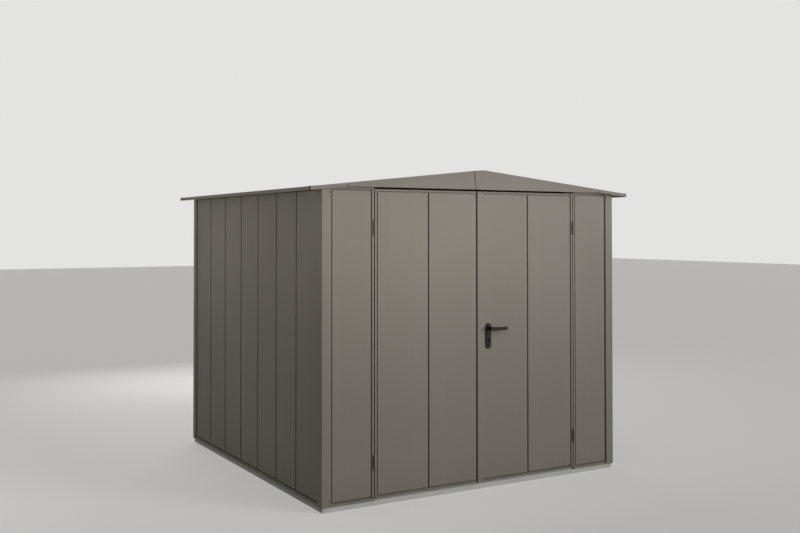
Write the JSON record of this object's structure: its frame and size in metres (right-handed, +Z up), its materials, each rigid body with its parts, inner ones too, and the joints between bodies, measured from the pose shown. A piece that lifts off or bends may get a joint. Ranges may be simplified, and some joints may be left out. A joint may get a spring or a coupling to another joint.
{
  "type": "metal tool shed",
  "caption": "Square metal tool shed with folded tray walls, a shallow gable roof, double doors and a lever handle, on a thin slab.",
  "frame": {"origin": "middle of the slab's underside, on the ground", "axes": "+Z up, the double door faces -Y, +X is to the right for someone who faces the door; the ridge runs along Y"},
  "size_m": [2.588, 2.484, 2.1501],
  "materials": {
    "wall_paint": "powder-coated grey-brown, satin, very fine texture",
    "door_paint": "powder-coated grey-brown, satin, very fine texture",
    "roof_paint": "powder-coated grey-brown, satin, very fine texture",
    "slab_concrete": "pale grey concrete, matt, fine grain",
    "hinge_steel": "steel painted with the doors, satin",
    "handle_plastic": "near-black moulded nylon, fine grain",
    "cylinder_black": "black-plated brass, satin",
    "sill_steel": "galvanised steel, matt",
    "galvanised_steel": "galvanised steel, matt spangle"
  },
  "bodies": {
    "shell": {"floor_slab": "slab_concrete", "base_rail_left": "wall_paint", "base_rail_right": "wall_paint", "base_rail_back": "wall_paint", "base_rail_front": "wall_paint", "door_threshold": "sill_steel", "corner_post_front_left": "wall_paint", "corner_post_front_right": "wall_paint", "corner_post_back_left": "wall_paint", "corner_post_back_right": "wall_paint", "left_wall_panels": "wall_paint", "right_wall_panels": "wall_paint", "back_wall_panels": "wall_paint", "fixed_panel_left": "wall_paint", "fixed_panel_right": "wall_paint", "top_rails": "wall_paint", "front_header": "wall_paint", "gable_sheet_front": "wall_paint", "gable_sheet_back": "wall_paint", "door_post_left": "wall_paint", "door_post_right": "wall_paint", "hinge_pins_left": "hinge_steel", "hinge_pins_right": "hinge_steel", "ridge_beam": "galvanised_steel", "purlins": "galvanised_steel", "roof_sheet_left": "roof_paint", "roof_sheet_right": "roof_paint", "ridge_cap": "roof_paint", "eave_trim_left": "wall_paint", "eave_trim_right": "wall_paint", "fascia_front_left": "wall_paint", "fascia_front_right": "wall_paint", "fascia_back_left": "wall_paint", "fascia_back_right": "wall_paint"},
    "left_leaf": {"left_door_frame": "door_paint", "left_door_panels": "door_paint", "hinge_sleeves_left": "hinge_steel"},
    "right_leaf": {"right_door_frame": "door_paint", "right_door_panels": "door_paint", "hinge_sleeves_right": "hinge_steel", "handle_plate_outside": "handle_plastic", "handle_plate_inside": "handle_plastic", "lock_cylinder": "cylinder_black"},
    "lever": {"lever_outside": "handle_plastic", "lever_inside": "handle_plastic"}
  },
  "joints": [
    {"name": "left_leaf_swing", "type": "hinge", "parent": "shell", "child": "left_leaf", "pos_m": [-0.819, -1.1985, 1], "axis": [0, 0, -1], "range_deg": [0, 120]},
    {"name": "right_leaf_swing", "type": "hinge", "parent": "shell", "child": "right_leaf", "pos_m": [0.819, -1.1985, 1], "axis": [0, 0, 1], "range_deg": [0, 120]},
    {"name": "lever_turn", "type": "hinge", "parent": "right_leaf", "child": "lever", "pos_m": [0.07, -1.175, 1.082], "axis": [0, 1, 0], "range_deg": [0, 45], "stiffness_Nm_per_rad": 0.6, "springref_deg": -34.38}
  ]
}
